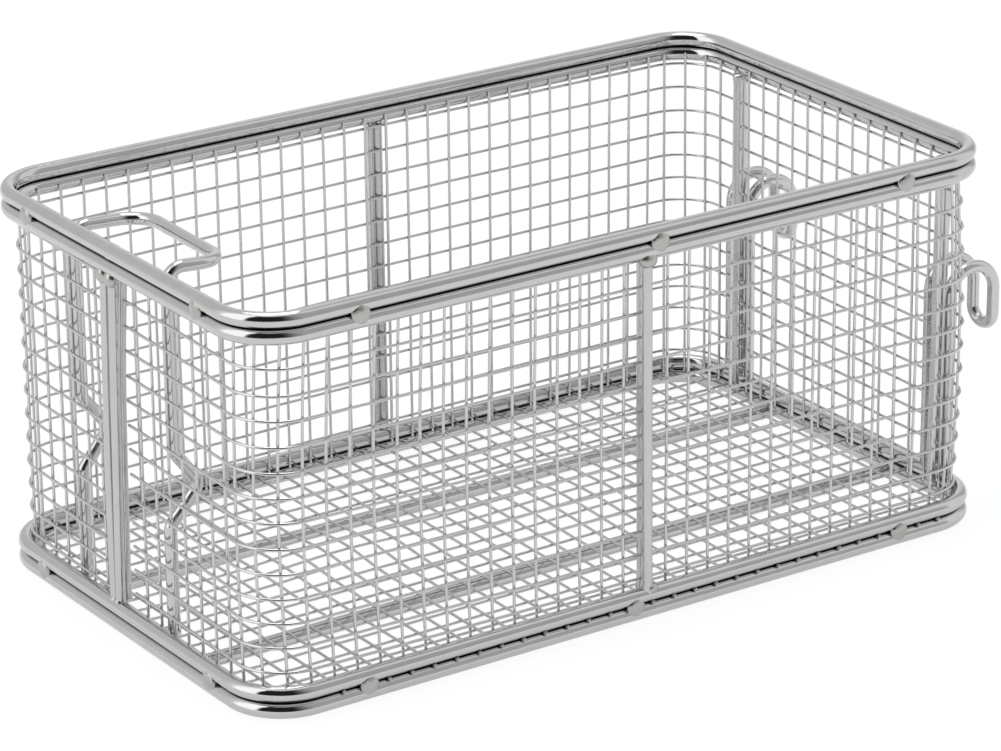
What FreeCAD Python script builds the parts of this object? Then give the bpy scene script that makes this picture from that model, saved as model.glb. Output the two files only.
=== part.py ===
import FreeCAD, Part
import math
import os
from FreeCAD import Rotation, Vector

# A welded wire basket for a deep fryer, in millimetres.
# X runs along the basket, with the grip at -X and the hanging hooks at +X.
# Y runs across it, and Z is up. The base ring stands on Z = 0.

# Basket body, measured over the rings
basket_length = 436.3
basket_width = 258.3
basket_height = 201.6
ring_corner_radius = 32.0

# Rod and wire diameters
ring_rod = 7.94
post_rod = 7.94
inner_post_rod = 6.35
floor_rod = 6.35
hook_rod = 6.35
handle_rod = 6.35
wire = 1.6

# Fits between the welded pieces
seat = 0.05
base_ring_gap = 0.4

# Round forms: flats round a rod's section, a multiple of four, and straight steps in a quarter bend
rod_sides = 12
quarter_steps = 5

# Spot-welded square mesh, with the first wire of each wall named from the basket's centre
mesh_pitch = 12.7
level_pitch = 12.58
front_wire_x = -6.7
back_wire_x = 1.4
handle_end_wire_y = 15.0
hook_end_wire_y = 5.0
top_row_gap = 1.4
mesh_top_lap = 5.3
floor_wire_x = 5.8
floor_wire_y = -2.5

# Every so many wires of the mesh are drawn, each at its real place
wall_wire_step = 2
floor_cross_step = 3
floor_length_step = 2

# Upright posts and the two rods under the floor
front_post_x = 1.3
back_post_x = 10.4
handle_post_y = 5.2
handle_inner_post_y = 14.5
floor_rod_inset = 73.2

# Hanging hooks on the +X end, each so far in from the middle of the rings' long side, round an upright post
front_hook_inset = 38.4
back_hook_inset = 42.7
hook_leg_spacing = 15.9
hook_top_z = 125.0
hook_reach = 28.6
hook_drop = 35.5

# Fixed grip on the -X end, bent from one rod, its front arm the shorter and the higher
grip_front_y = -34.4
grip_back_y = 56.0
grip_front_z = 198.2
grip_back_z = 192.8
grip_front_reach = 31.5
grip_back_reach = 40.0
grip_dip = 2.2
grip_bend = 8.0
kink_z = 86.0
kink_half_height = 18.0
kink_depth = 12.5

# Weld bridges that tie each pair of rings together
bridge_inset = 56.2
bridge_end_inset = 44.7
bridge_mid_x = 11.0
base_bridge_mid_x = -5.0
bridge_along = 5.1
bridge_height = 5.3
bridge_depth = 3.0
bridge_bulge = 0.5
bead_sides = 8
bead_end_size = 0.5
bead_full_length = 0.5

ring_r = ring_rod / 2
post_r = post_rod / 2
floor_r = floor_rod / 2
hook_r = hook_rod / 2
handle_r = handle_rod / 2
inner_post_r = inner_post_rod / 2

# The middle of a bend's step lies nearer its centre than its ends
step_turn = 90 / quarter_steps
step_flatness = math.cos(math.radians(step_turn / 2))

# Centreline of the rings in plan
ring_half_x = basket_length / 2 - ring_r
ring_half_y = basket_width / 2 - ring_r
ring_bend = ring_corner_radius - ring_r

# Heights of the four rings
lower_base_z = ring_r
upper_base_z = lower_base_z + ring_rod + base_ring_gap
upper_rim_z = basket_height - ring_r
lower_rim_z = upper_rim_z - ring_rod - seat

# The floor mesh lies between the base rings, crosswise wires over lengthwise ones
floor_z = (lower_base_z + upper_base_z) / 2
floor_top = floor_z + wire

# Outer face of the side mesh's uprights, against the inner faces of the rings
mesh_half_x = ring_half_x - ring_r - seat
mesh_half_y = ring_half_y - ring_r - seat
mesh_bend = ring_bend - ring_r - seat
mesh_flat_x = mesh_half_x - mesh_bend
mesh_flat_y = mesh_half_y - mesh_bend
mesh_bottom = floor_top + seat
mesh_top = lower_rim_z - ring_r + mesh_top_lap

# The level wires lie outside the uprights, under the rim rings and over the base rings
top_row_z = lower_rim_z - ring_r - top_row_gap - wire / 2
lowest_row_z = upper_base_z + ring_r + seat + wire / 2

# Rods outside the mesh touch its level wires, and rods inside it touch its uprights
outside_x = mesh_half_x + wire + seat + post_r
outside_y = mesh_half_y + wire + seat + post_r
hook_plane_x = mesh_half_x + wire + seat + hook_r
inside_face_x = mesh_half_x - wire - seat

# Rods that stand on a base ring start on its shoulder and are coped to it
foot_z = upper_base_z + ring_r / 2

# Places that follow the basket's sides
floor_rod_y = ring_half_y - floor_rod_inset
front_hook_y = front_hook_inset - ring_half_y
back_hook_y = ring_half_y - back_hook_inset
bridge_x = ring_half_x - bridge_inset
bridge_y = ring_half_y - bridge_end_inset

# The hooks reach further than the handle-end post, so the origin moves to the whole part's middle
reach_x = hook_plane_x + hook_reach + hook_r
centre_shift = Vector((outside_x + post_r - reach_x) / 2, 0, 0)


def section_corners(centre, along, flat_side, radius, sides):
    """Corners of a many-sided section whose flats lie one radius from its centre."""
    reach = radius / math.cos(math.pi / sides)
    corners = []
    for side in range(sides):
        turn = Rotation(along, 360 / sides * (side + 0.5))
        corners.append(centre + turn.multVec(flat_side) * reach)
    return corners


def rod(points, radius, flat_side, bends=(), sides=rod_sides, closed=False):
    """A rod along straight runs, with one bend radius for each point between its ends."""
    along = (points[1] - points[0]).normalize()
    section = section_corners(points[0], along, flat_side, radius, sides)
    sections = [section]
    place = points[0]
    for before, corner, after, bend in zip(points, points[1:], points[2:], bends):
        into = (corner - before).normalize()
        out = (after - corner).normalize()
        angle = into.getAngle(out)
        setback = bend * math.tan(angle / 2)
        section = run_on(sections, section, corner - into * setback - place)
        axis = into.cross(out).normalize()
        centre = corner - into * setback + axis.cross(into) * bend
        steps = max(1, round(math.degrees(angle) / step_turn))
        turn = Rotation(axis, math.degrees(angle) / steps)
        for _ in range(steps):
            section = [centre + turn.multVec(point - centre) for point in section]
            sections.append(section)
        place = corner + out * setback
    run_on(sections, section, points[-1] - place)
    faces = []
    if closed:
        sections[-1] = sections[0]
    else:
        faces = [flat_face(sections[0]), flat_face(sections[-1])]
    for near, far in zip(sections, sections[1:]):
        for side in range(sides):
            faces.append(flat_face([near[side - 1], near[side], far[side], far[side - 1]]))
    return Part.makeSolid(Part.Shell(faces))


def flat_face(corners):
    """A flat face with these corners."""
    return Part.Face(Part.makePolygon(corners + corners[:1]))


def run_on(sections, section, run):
    """Carry the section along a straight run, unless two bends meet with no run between them."""
    if run.Length < seat:
        return section
    moved = [point + run for point in section]
    sections.append(moved)
    return moved


def ring(z):
    """One rod bent to a rounded rectangle and butt welded to itself in the middle of the front side."""
    weld = Vector(0, -ring_half_y, z)
    corners = []
    for side_x, side_y in ((1, -1), (1, 1), (-1, 1), (-1, -1)):
        corners.append(Vector(side_x * ring_half_x, side_y * ring_half_y, z))
    return rod([weld] + corners + [weld], ring_r, Vector(0, 0, 1), [ring_bend] * len(corners), closed=True)


def mesh_wire(start, end, facing):
    """A straight mesh wire, drawn as a square bar as wide as the round wire."""
    return rod([start, end], wire / 2, facing, sides=4)


def row_heights():
    """Heights of the drawn level wires, from the top row down to the base rings."""
    spacing = level_pitch * wall_wire_step
    count = int((top_row_z - lowest_row_z) / spacing) + 1
    return [top_row_z - spacing * row for row in range(count)]


def wire_places(first, limit, step):
    """Places of the drawn wires that fall within the limit on both sides."""
    spacing = mesh_pitch * step
    lowest = math.ceil((-limit - first) / spacing)
    highest = math.floor((limit - first) / spacing)
    return [first + spacing * place for place in range(lowest, highest + 1)]


def wall_mesh(first, flat, out_distance, facing):
    """The flat mesh of one wall: uprights inside, level wires outside, touching where they cross."""
    along = Vector(-facing.y, facing.x, 0)
    upright_centre = facing * (out_distance - wire / 2)
    level_centre = facing * (out_distance + wire / 2)
    bars = []
    for place in wire_places(first, flat - wire, wall_wire_step):
        foot = upright_centre + along * place
        bars.append(mesh_wire(foot + Vector(0, 0, mesh_bottom), foot + Vector(0, 0, mesh_top), facing))
    for z in row_heights():
        middle = level_centre + Vector(0, 0, z)
        bars.append(mesh_wire(middle - along * flat, middle + along * flat, facing))
    return Part.makeCompound(bars)


def corner_mesh(side_x, side_y):
    """The mesh where it bends round one corner of the basket, with one upright on the bend's middle step."""
    centre = Vector(side_x * mesh_flat_x, side_y * mesh_flat_y, 0)
    angle = math.radians((quarter_steps // 2 + 0.5) * step_turn)
    facing = Vector(side_x * math.cos(angle), side_y * math.sin(angle), 0)
    foot = centre + facing * (mesh_bend * step_flatness - wire / 2)
    bars = [mesh_wire(foot + Vector(0, 0, mesh_bottom), foot + Vector(0, 0, mesh_top), facing)]
    bend = mesh_bend + wire / 2
    for z in row_heights():
        start = centre + Vector(side_x * bend, 0, z)
        corner = centre + Vector(side_x * bend, side_y * bend, z)
        end = centre + Vector(0, side_y * bend, z)
        bars.append(rod([start, corner, end], wire / 2, Vector(0, 0, 1), [bend], sides=4))
    return Part.makeCompound(bars)


def floor_inset():
    """How far in from the ring centreline the floor wires stop, in the wedge between the base rings."""
    rise = ring_r + base_ring_gap / 2 - wire - seat
    corner_reach = ring_r / math.cos(math.pi / rod_sides)
    return math.sqrt(corner_reach ** 2 - rise ** 2)


def half_span(offset, half_along, half_across, bend):
    """Half the width of a rounded rectangle at the outer edge of a wire off its middle line."""
    past = abs(offset) + wire / 2 - (half_across - bend)
    if past <= 0:
        return half_along
    return half_along - bend + math.sqrt((bend * step_flatness) ** 2 - past ** 2)


def floor_mesh():
    """The flat floor mesh, its wire ends held between the two base rings."""
    inset = floor_inset()
    half_x = ring_half_x - inset
    half_y = ring_half_y - inset
    bend = ring_bend - inset
    up = Vector(0, 0, 1)
    bars = []
    for x in wire_places(floor_wire_x, half_x - ring_r, floor_cross_step):
        half = half_span(x, half_y, half_x, bend)
        z = floor_z + wire / 2
        bars.append(mesh_wire(Vector(x, -half, z), Vector(x, half, z), up))
    for y in wire_places(floor_wire_y, half_y - ring_r, floor_length_step):
        half = half_span(y, half_x, half_y, bend)
        z = floor_z - wire / 2
        bars.append(mesh_wire(Vector(-half, y, z), Vector(half, y, z), up))
    return Part.makeCompound(bars)


def post(x, y, rings):
    """An upright rod, coped to sit on the base ring and under the rim ring."""
    upright = rod([Vector(x, y, foot_z), Vector(x, y, lower_rim_z)], post_r, Vector(1, 0, 0))
    return upright.cut(rings["upper_base_ring"]).cut(rings["lower_rim_ring"])


def inner_post():
    """The rod inside the mesh, beside the handle-end post, where the ends of the mesh meet."""
    x = inner_post_r - inside_face_x
    foot = Vector(x, handle_inner_post_y, mesh_bottom)
    head = Vector(x, handle_inner_post_y, lower_rim_z)
    return rod([foot, head], inner_post_r, Vector(1, 0, 0))


def floor_rod_along(y, rings):
    """A lengthwise rod under the floor mesh, coped to the inside of the lower base ring."""
    z = floor_z - wire - seat - floor_r
    bar = rod([Vector(-ring_half_x, y, z), Vector(ring_half_x, y, z)], floor_r, Vector(0, 0, 1))
    return bar.cut(rings["lower_base_ring"])


def hook(y, rings):
    """A double hook: two legs on the wall, over and down to a tongue that joins them."""
    tongue_x = hook_plane_x + hook_reach
    tongue_z = hook_top_z - hook_drop
    sides = []
    for leg_y in (y - hook_leg_spacing / 2, y + hook_leg_spacing / 2):
        sides.append([
            Vector(hook_plane_x, leg_y, foot_z),
            Vector(hook_plane_x, leg_y, hook_top_z),
            Vector(tongue_x, leg_y, hook_top_z),
            Vector(tongue_x, leg_y, tongue_z),
        ])
    arch = hook_reach / 2
    turn = hook_leg_spacing / 2
    bends = [arch, arch, turn, turn, arch, arch]
    bent = rod(sides[0] + sides[1][::-1], hook_r, Vector(1, 0, 0), bends)
    return bent.cut(rings["upper_base_ring"])


def handle_loop():
    """The fixed grip: one rod from the floor up, kinked inward, over to the grip bar and down again."""
    leg_x = handle_r - inside_face_x
    front = (grip_front_y, grip_front_z, grip_front_reach)
    back = (grip_back_y, grip_back_z, grip_back_reach)
    sides = []
    for y, arm_z, reach in (front, back):
        sides.append([
            Vector(leg_x, y, mesh_bottom),
            Vector(leg_x, y, kink_z - kink_half_height),
            Vector(leg_x + kink_depth, y, kink_z),
            Vector(leg_x, y, kink_z + kink_half_height),
            Vector(leg_x, y, arm_z),
            Vector(leg_x + reach, y, arm_z - grip_dip),
        ])
    points = sides[0] + sides[1][::-1]
    return rod(points, handle_r, Vector(1, 0, 0), [grip_bend] * (len(points) - 2))


def weld_bead(x, y, z, facing, rings):
    """A weld bead over the crevice between two rings, tapered at its ends and shaped to both rods."""
    deep = bridge_depth / 2
    along = Vector(-facing.y, facing.x, 0)
    centre = Vector(x, y, z) + facing * (ring_r + bridge_bulge - deep)
    wires = []
    for reach, size in ((-1, bead_end_size), (-bead_full_length, 1), (bead_full_length, 1), (1, bead_end_size)):
        corners = []
        for side in range(bead_sides):
            angle = 2 * math.pi * side / bead_sides
            out = facing * (deep * size * math.cos(angle))
            rise = Vector(0, 0, bridge_height * size * math.sin(angle))
            corners.append(centre + along * (bridge_along * reach) + out + rise)
        wires.append(Part.makePolygon(corners + corners[:1]))
    bead = Part.makeLoft(wires, True, True)
    for neighbour in rings:
        bead = bead.cut(neighbour)
    return bead


def weld_bridges(z, middle_x, rings):
    """Ten beads round one pair of rings: three on each long side and two on each end."""
    beads = []
    for side in (-1, 1):
        for x in (-bridge_x, middle_x, bridge_x):
            beads.append(weld_bead(x, side * ring_half_y, z, Vector(0, side, 0), rings))
        for y in (-bridge_y, bridge_y):
            beads.append(weld_bead(side * ring_half_x, y, z, Vector(side, 0, 0), rings))
    return Part.makeCompound(beads)


def build_parts():
    """Every piece of the basket by name, about the basket's own centre."""
    rings = {
        "upper_rim_ring": ring(upper_rim_z),
        "lower_rim_ring": ring(lower_rim_z),
        "upper_base_ring": ring(upper_base_z),
        "lower_base_ring": ring(lower_base_z),
    }
    parts = dict(rings)
    parts["front_mesh"] = wall_mesh(front_wire_x, mesh_flat_x, mesh_half_y, Vector(0, -1, 0))
    parts["back_mesh"] = wall_mesh(-back_wire_x, mesh_flat_x, mesh_half_y, Vector(0, 1, 0))
    parts["handle_end_mesh"] = wall_mesh(-handle_end_wire_y, mesh_flat_y, mesh_half_x, Vector(-1, 0, 0))
    parts["hook_end_mesh"] = wall_mesh(hook_end_wire_y, mesh_flat_y, mesh_half_x, Vector(1, 0, 0))
    for end, side_x in (("handle_end", -1), ("hook_end", 1)):
        for face, side_y in (("front", -1), ("back", 1)):
            parts[f"{end}_{face}_corner_mesh"] = corner_mesh(side_x, side_y)
    parts["floor_mesh"] = floor_mesh()
    parts["front_floor_rod"] = floor_rod_along(-floor_rod_y, rings)
    parts["back_floor_rod"] = floor_rod_along(floor_rod_y, rings)
    parts["front_post"] = post(front_post_x, -outside_y, rings)
    parts["back_post"] = post(back_post_x, outside_y, rings)
    parts["handle_end_outer_post"] = post(-outside_x, handle_post_y, rings)
    parts["handle_end_inner_post"] = inner_post()
    parts["hook_end_front_post"] = post(outside_x, front_hook_y, rings)
    parts["hook_end_back_post"] = post(outside_x, back_hook_y, rings)
    parts["front_hook"] = hook(front_hook_y, rings)
    parts["back_hook"] = hook(back_hook_y, rings)
    parts["handle_loop"] = handle_loop()
    rim_pair = (rings["upper_rim_ring"], rings["lower_rim_ring"])
    base_pair = (rings["upper_base_ring"], rings["lower_base_ring"])
    rim_crevice = (upper_rim_z + lower_rim_z) / 2
    parts["rim_weld_bridges"] = weld_bridges(rim_crevice, bridge_mid_x, rim_pair)
    parts["base_weld_bridges"] = weld_bridges(floor_z, base_bridge_mid_x, base_pair)
    return parts


os.makedirs("parts", exist_ok=True)
for name, shape in build_parts().items():
    shape.translate(centre_shift)
    shape.exportStep(os.path.join("parts", name + ".step"))
    box = shape.BoundBox
    print(name, len(shape.Solids), shape.isValid(), round(shape.Volume), round(box.XMin, 2), round(box.XMax, 2))
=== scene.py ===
import math

import bpy
from mathutils import Matrix, Vector


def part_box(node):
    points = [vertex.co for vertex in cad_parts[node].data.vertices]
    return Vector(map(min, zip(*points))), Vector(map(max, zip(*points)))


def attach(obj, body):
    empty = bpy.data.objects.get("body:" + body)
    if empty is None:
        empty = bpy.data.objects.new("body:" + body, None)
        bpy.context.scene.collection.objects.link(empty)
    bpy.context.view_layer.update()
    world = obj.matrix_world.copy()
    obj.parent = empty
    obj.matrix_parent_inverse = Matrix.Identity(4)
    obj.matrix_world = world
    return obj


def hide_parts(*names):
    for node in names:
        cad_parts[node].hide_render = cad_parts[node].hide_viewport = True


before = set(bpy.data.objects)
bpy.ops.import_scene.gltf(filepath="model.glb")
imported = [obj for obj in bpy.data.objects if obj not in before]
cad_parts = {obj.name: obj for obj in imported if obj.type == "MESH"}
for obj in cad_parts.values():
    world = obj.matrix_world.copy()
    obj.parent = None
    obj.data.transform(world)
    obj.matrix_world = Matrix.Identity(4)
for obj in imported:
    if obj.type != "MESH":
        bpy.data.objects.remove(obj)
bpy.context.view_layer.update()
scene = bpy.context.scene
mm = 0.001
print("frame loaded, nodes:", len(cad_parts))


# Shader groups shared by the steels

def newGroup(name, inputs, outputs):
    group = bpy.data.node_groups.new(name, "ShaderNodeTree")
    for label, kind, value in inputs:
        socket = group.interface.new_socket(name=label, in_out="INPUT", socket_type=kind)
        socket.default_value = value
    for label, kind in outputs:
        group.interface.new_socket(name=label, in_out="OUTPUT", socket_type=kind)
    return group, group.nodes.new("NodeGroupInput"), group.nodes.new("NodeGroupOutput")


def polishMottle():
    # uneven dissolving of the surface by electropolishing, in two sizes
    group, given, put = newGroup(
        "polishMottle",
        [("Broad Scale", "NodeSocketFloat", 90.0), ("Fine Scale", "NodeSocketFloat", 1400.0),
         ("Lowest", "NodeSocketFloat", 0.14), ("Highest", "NodeSocketFloat", 0.3)],
        [("Roughness", "NodeSocketFloat"), ("Height", "NodeSocketFloat"), ("Broad", "NodeSocketFloat")])
    nodes, links = group.nodes, group.links
    place = nodes.new("ShaderNodeTexCoord")
    broad = nodes.new("ShaderNodeTexNoise")
    broad.inputs["Detail"].default_value = 3
    fine = nodes.new("ShaderNodeTexNoise")
    fine.inputs["Detail"].default_value = 2
    for noise, label in ((broad, "Broad Scale"), (fine, "Fine Scale")):
        links.new(place.outputs["Object"], noise.inputs["Vector"])
        links.new(given.outputs[label], noise.inputs["Scale"])
    spread = nodes.new("ShaderNodeMapRange")
    spread.inputs["From Min"].default_value = 0.3
    spread.inputs["From Max"].default_value = 0.7
    links.new(broad.outputs["Fac"], spread.inputs["Value"])
    links.new(given.outputs["Lowest"], spread.inputs["To Min"])
    links.new(given.outputs["Highest"], spread.inputs["To Max"])
    fineShare = 0.35
    both = nodes.new("ShaderNodeMath")
    both.operation = "MULTIPLY_ADD"
    both.inputs[1].default_value = fineShare
    links.new(fine.outputs["Fac"], both.inputs[0])
    links.new(broad.outputs["Fac"], both.inputs[2])
    links.new(spread.outputs["Result"], put.inputs["Roughness"])
    links.new(both.outputs["Value"], put.inputs["Height"])
    links.new(broad.outputs["Fac"], put.inputs["Broad"])
    return group


def drawLines():
    # faint lines left along a rod by the drawing die, read from the rod's own UV map
    group, given, put = newGroup(
        "drawLines",
        [("Lines Round", "NodeSocketFloat", 60.0), ("Stretch", "NodeSocketFloat", 0.5)],
        [("Height", "NodeSocketFloat")])
    nodes, links = group.nodes, group.links
    own = nodes.new("ShaderNodeUVMap")
    own.uv_map = "UVMap"
    scale = nodes.new("ShaderNodeCombineXYZ")
    links.new(given.outputs["Lines Round"], scale.inputs["X"])
    links.new(given.outputs["Stretch"], scale.inputs["Y"])
    stretch = nodes.new("ShaderNodeVectorMath")
    stretch.operation = "MULTIPLY"
    links.new(own.outputs["UV"], stretch.inputs[0])
    links.new(scale.outputs["Vector"], stretch.inputs[1])
    noise = nodes.new("ShaderNodeTexNoise")
    noise.inputs["Scale"].default_value = 1.0
    noise.inputs["Detail"].default_value = 3
    links.new(stretch.outputs["Vector"], noise.inputs["Vector"])
    links.new(noise.outputs["Fac"], put.inputs["Height"])
    return group


def heatTint():
    # straw to brown colour that a weld leaves beside it, in patches
    group, given, put = newGroup(
        "heatTint",
        [("Patch Scale", "NodeSocketFloat", 110.0), ("Amount", "NodeSocketFloat", 0.5)],
        [("Mask", "NodeSocketFloat")])
    nodes, links = group.nodes, group.links
    place = nodes.new("ShaderNodeTexCoord")
    noise = nodes.new("ShaderNodeTexNoise")
    noise.inputs["Detail"].default_value = 4
    links.new(place.outputs["Object"], noise.inputs["Vector"])
    links.new(given.outputs["Patch Scale"], noise.inputs["Scale"])
    spread = nodes.new("ShaderNodeMapRange")
    spread.inputs["From Min"].default_value = 0.5
    spread.inputs["From Max"].default_value = 0.7
    links.new(noise.outputs["Fac"], spread.inputs["Value"])
    links.new(given.outputs["Amount"], spread.inputs["To Max"])
    links.new(spread.outputs["Result"], put.inputs["Mask"])
    return group


def creviceShadeMask():
    # mask for painted shade: 1 on the inside of the two narrow gaps between stacked rings, 0 away from
    # them
    group, given, put = newGroup(
        "creviceShadeMask",
        [("Rim Gap Height", "NodeSocketFloat", 0.1936), ("Base Gap Height", "NodeSocketFloat", 0.0081),
         ("Near", "NodeSocketFloat", 0.0002), ("Far", "NodeSocketFloat", 0.00065)],
        [("Mask", "NodeSocketFloat")])
    nodes, links = group.nodes, group.links
    place = nodes.new("ShaderNodeTexCoord")
    split = nodes.new("ShaderNodeSeparateXYZ")
    links.new(place.outputs["Object"], split.inputs["Vector"])
    away = []
    for label in ("Rim Gap Height", "Base Gap Height"):
        off = nodes.new("ShaderNodeMath")
        off.operation = "SUBTRACT"
        links.new(split.outputs["Z"], off.inputs[0])
        links.new(given.outputs[label], off.inputs[1])
        size = nodes.new("ShaderNodeMath")
        size.operation = "ABSOLUTE"
        links.new(off.outputs["Value"], size.inputs[0])
        away.append(size)
    nearest = nodes.new("ShaderNodeMath")
    nearest.operation = "MINIMUM"
    links.new(away[0].outputs["Value"], nearest.inputs[0])
    links.new(away[1].outputs["Value"], nearest.inputs[1])
    fade = nodes.new("ShaderNodeMapRange")
    fade.inputs["To Min"].default_value = 1.0
    fade.inputs["To Max"].default_value = 0.0
    links.new(nearest.outputs["Value"], fade.inputs["Value"])
    links.new(given.outputs["Near"], fade.inputs["From Min"])
    links.new(given.outputs["Far"], fade.inputs["From Max"])
    links.new(fade.outputs["Result"], put.inputs["Mask"])
    return group


mottle = polishMottle()
drawn = drawLines()
tinted = heatTint()
creviceShadeGroup = creviceShadeMask()

steelLooks = {
    "ringSteel": {"colour": (0.66, 0.66, 0.655), "dark": (0.58, 0.58, 0.575), "rough": (0.04, 0.12),
                  "bump": 0.06, "lines": 0.06, "linesRound": 60.0, "heat": 0.0, "crevice": True},
    "frameSteel": {"colour": (0.66, 0.66, 0.655), "dark": (0.56, 0.56, 0.555), "rough": (0.10, 0.24),
                   "bump": 0.22, "lines": 0.12, "linesRound": 40.0, "heat": 0.0, "crevice": False},
    "handleSteel": {"colour": (0.67, 0.67, 0.665), "dark": (0.59, 0.59, 0.585), "rough": (0.05, 0.14),
                    "bump": 0.10, "lines": 0.06, "linesRound": 40.0, "heat": 0.0, "crevice": False},
    "wireSteel": {"colour": (0.70, 0.70, 0.695), "dark": (0.62, 0.62, 0.615), "rough": (0.10, 0.22),
                  "bump": 0.06, "lines": 0.0, "heat": 0.06, "crevice": False},
    "beadSteel": {"colour": (0.62, 0.62, 0.61), "dark": (0.42, 0.42, 0.415), "rough": (0.18, 0.36),
                  "bump": 0.6, "lines": 0.0, "heat": 0.22, "crevice": False},
}
heatColour = (0.46, 0.36, 0.25, 1.0)
# near-black colour painted into the ring crevices as the shade that falls in the gap between the rings
creviceShadeColour = (0.05, 0.05, 0.05, 1.0)


def steel(name):
    look = steelLooks[name]
    material = bpy.data.materials.new(name)
    material.use_nodes = True
    nodes, links = material.node_tree.nodes, material.node_tree.links
    shader = nodes["Principled BSDF"]
    shader.inputs["Metallic"].default_value = 1.0
    worn = nodes.new("ShaderNodeGroup")
    worn.node_tree = mottle
    worn.inputs["Lowest"].default_value = look["rough"][0]
    worn.inputs["Highest"].default_value = look["rough"][1]
    tint = nodes.new("ShaderNodeMix")
    tint.data_type = "RGBA"
    tint.inputs["A"].default_value = (*look["dark"], 1)
    tint.inputs["B"].default_value = (*look["colour"], 1)
    links.new(worn.outputs["Broad"], tint.inputs["Factor"])
    colour = tint.outputs["Result"]
    if look["heat"]:
        heat = nodes.new("ShaderNodeGroup")
        heat.node_tree = tinted
        heat.inputs["Amount"].default_value = look["heat"]
        brown = nodes.new("ShaderNodeMix")
        brown.data_type = "RGBA"
        brown.inputs["B"].default_value = heatColour
        links.new(heat.outputs["Mask"], brown.inputs["Factor"])
        links.new(colour, brown.inputs["A"])
        colour = brown.outputs["Result"]
    # painted shade: the ring steel turns near black along the two crevices between stacked rings
    if look["crevice"]:
        gap = nodes.new("ShaderNodeGroup")
        gap.node_tree = creviceShadeGroup
        black = nodes.new("ShaderNodeMix")
        black.data_type = "RGBA"
        black.inputs["B"].default_value = creviceShadeColour
        links.new(gap.outputs["Mask"], black.inputs["Factor"])
        links.new(colour, black.inputs["A"])
        colour = black.outputs["Result"]
    links.new(colour, shader.inputs["Base Color"])
    links.new(worn.outputs["Roughness"], shader.inputs["Roughness"])
    bump = nodes.new("ShaderNodeBump")
    bump.inputs["Strength"].default_value = look["bump"]
    bump.inputs["Distance"].default_value = 0.4 * mm
    links.new(worn.outputs["Height"], bump.inputs["Height"])
    last = bump
    if look["lines"]:
        lines = nodes.new("ShaderNodeGroup")
        lines.node_tree = drawn
        lines.inputs["Lines Round"].default_value = look["linesRound"]
        second = nodes.new("ShaderNodeBump")
        second.inputs["Strength"].default_value = look["lines"]
        second.inputs["Distance"].default_value = 0.3 * mm
        links.new(lines.outputs["Height"], second.inputs["Height"])
        links.new(bump.outputs["Normal"], second.inputs["Normal"])
        last = second
    links.new(last.outputs["Normal"], shader.inputs["Normal"])
    return material


steels = {name: steel(name) for name in steelLooks}
print("steels made:", len(steels))


# Geometry Nodes that turn a line into a round rod or wire

def newTree(name, sockets):
    tree = bpy.data.node_groups.new(name, "GeometryNodeTree")
    tree.interface.new_socket(name="Geometry", in_out="INPUT", socket_type="NodeSocketGeometry")
    for label, kind, value in sockets:
        socket = tree.interface.new_socket(name=label, in_out="INPUT", socket_type=kind)
        if value is not None:
            socket.default_value = value
    tree.interface.new_socket(name="Geometry", in_out="OUTPUT", socket_type="NodeSocketGeometry")
    return tree, tree.nodes.new("NodeGroupInput"), tree.nodes.new("NodeGroupOutput")


def field(tree, label, kind="FLOAT"):
    node = tree.nodes.new("GeometryNodeInputNamedAttribute")
    node.data_type = kind
    node.inputs["Name"].default_value = label
    return node.outputs["Attribute"]


def pushed(tree, geometry, amount, scale, number):
    # move every point by smooth noise that is different for each numbered line
    nodes, links = tree.nodes, tree.links
    noise = nodes.new("ShaderNodeTexNoise")
    noise.noise_dimensions = "4D"
    noise.inputs["Detail"].default_value = 1.0
    links.new(scale, noise.inputs["Scale"])
    links.new(number, noise.inputs["W"])
    middle = nodes.new("ShaderNodeVectorMath")
    middle.operation = "SUBTRACT"
    middle.inputs[1].default_value = (0.5, 0.5, 0.5)
    links.new(noise.outputs["Color"], middle.inputs[0])
    push = nodes.new("ShaderNodeVectorMath")
    push.operation = "SCALE"
    links.new(middle.outputs["Vector"], push.inputs[0])
    links.new(amount, push.inputs["Scale"])
    place = nodes.new("GeometryNodeSetPosition")
    links.new(geometry, place.inputs["Geometry"])
    links.new(push.outputs["Vector"], place.inputs["Offset"])
    return place.outputs["Geometry"]


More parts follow.
